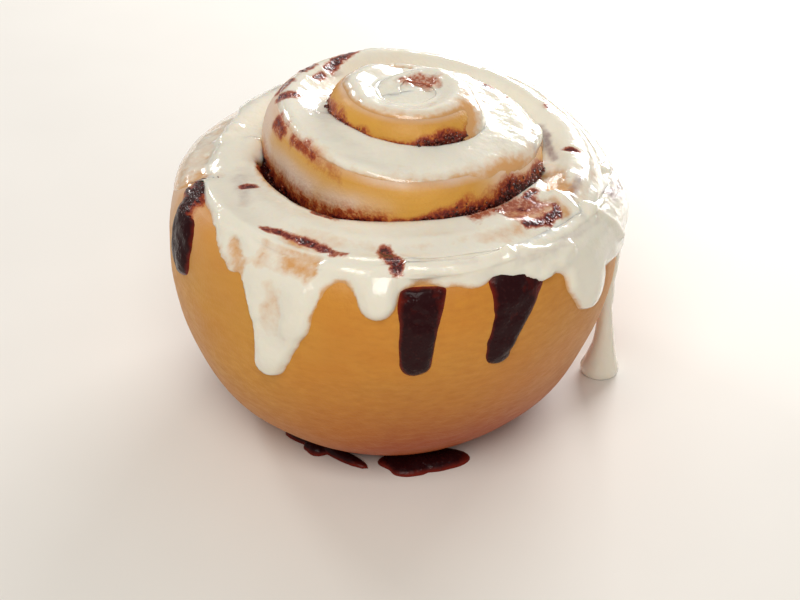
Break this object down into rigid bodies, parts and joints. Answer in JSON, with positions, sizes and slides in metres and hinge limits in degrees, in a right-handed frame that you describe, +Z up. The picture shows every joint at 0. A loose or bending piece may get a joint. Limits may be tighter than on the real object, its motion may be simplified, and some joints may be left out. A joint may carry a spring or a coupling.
{
  "type": "cinnamon roll",
  "caption": "Tall domed cinnamon roll: spiral baked dough with poured cream icing, icing drips and dark syrup runs, resting on a flat base.",
  "frame": {"origin": "centre of the flat underside, on the surface the roll stands on", "axes": "+Z up along the roll's height, front of the roll faces -Y, +X to the right seen from the front"},
  "size_m": [0.1094, 0.1098, 0.0816],
  "materials": {
    "dough": "satin golden brown baked crust with red-brown cinnamon filling",
    "icing": "glossy cream icing",
    "syrup": "glossy dark red-brown syrup"
  },
  "bodies": {
    "root": {"dough_roll": "dough", "icing_coat": "icing", "syrup_run_left": "syrup", "syrup_run_centre": "syrup", "syrup_run_right": "syrup", "syrup_run_back": "syrup", "syrup_pool_front": "syrup", "syrup_pool_left": "syrup"}
  },
  "joints": []
}
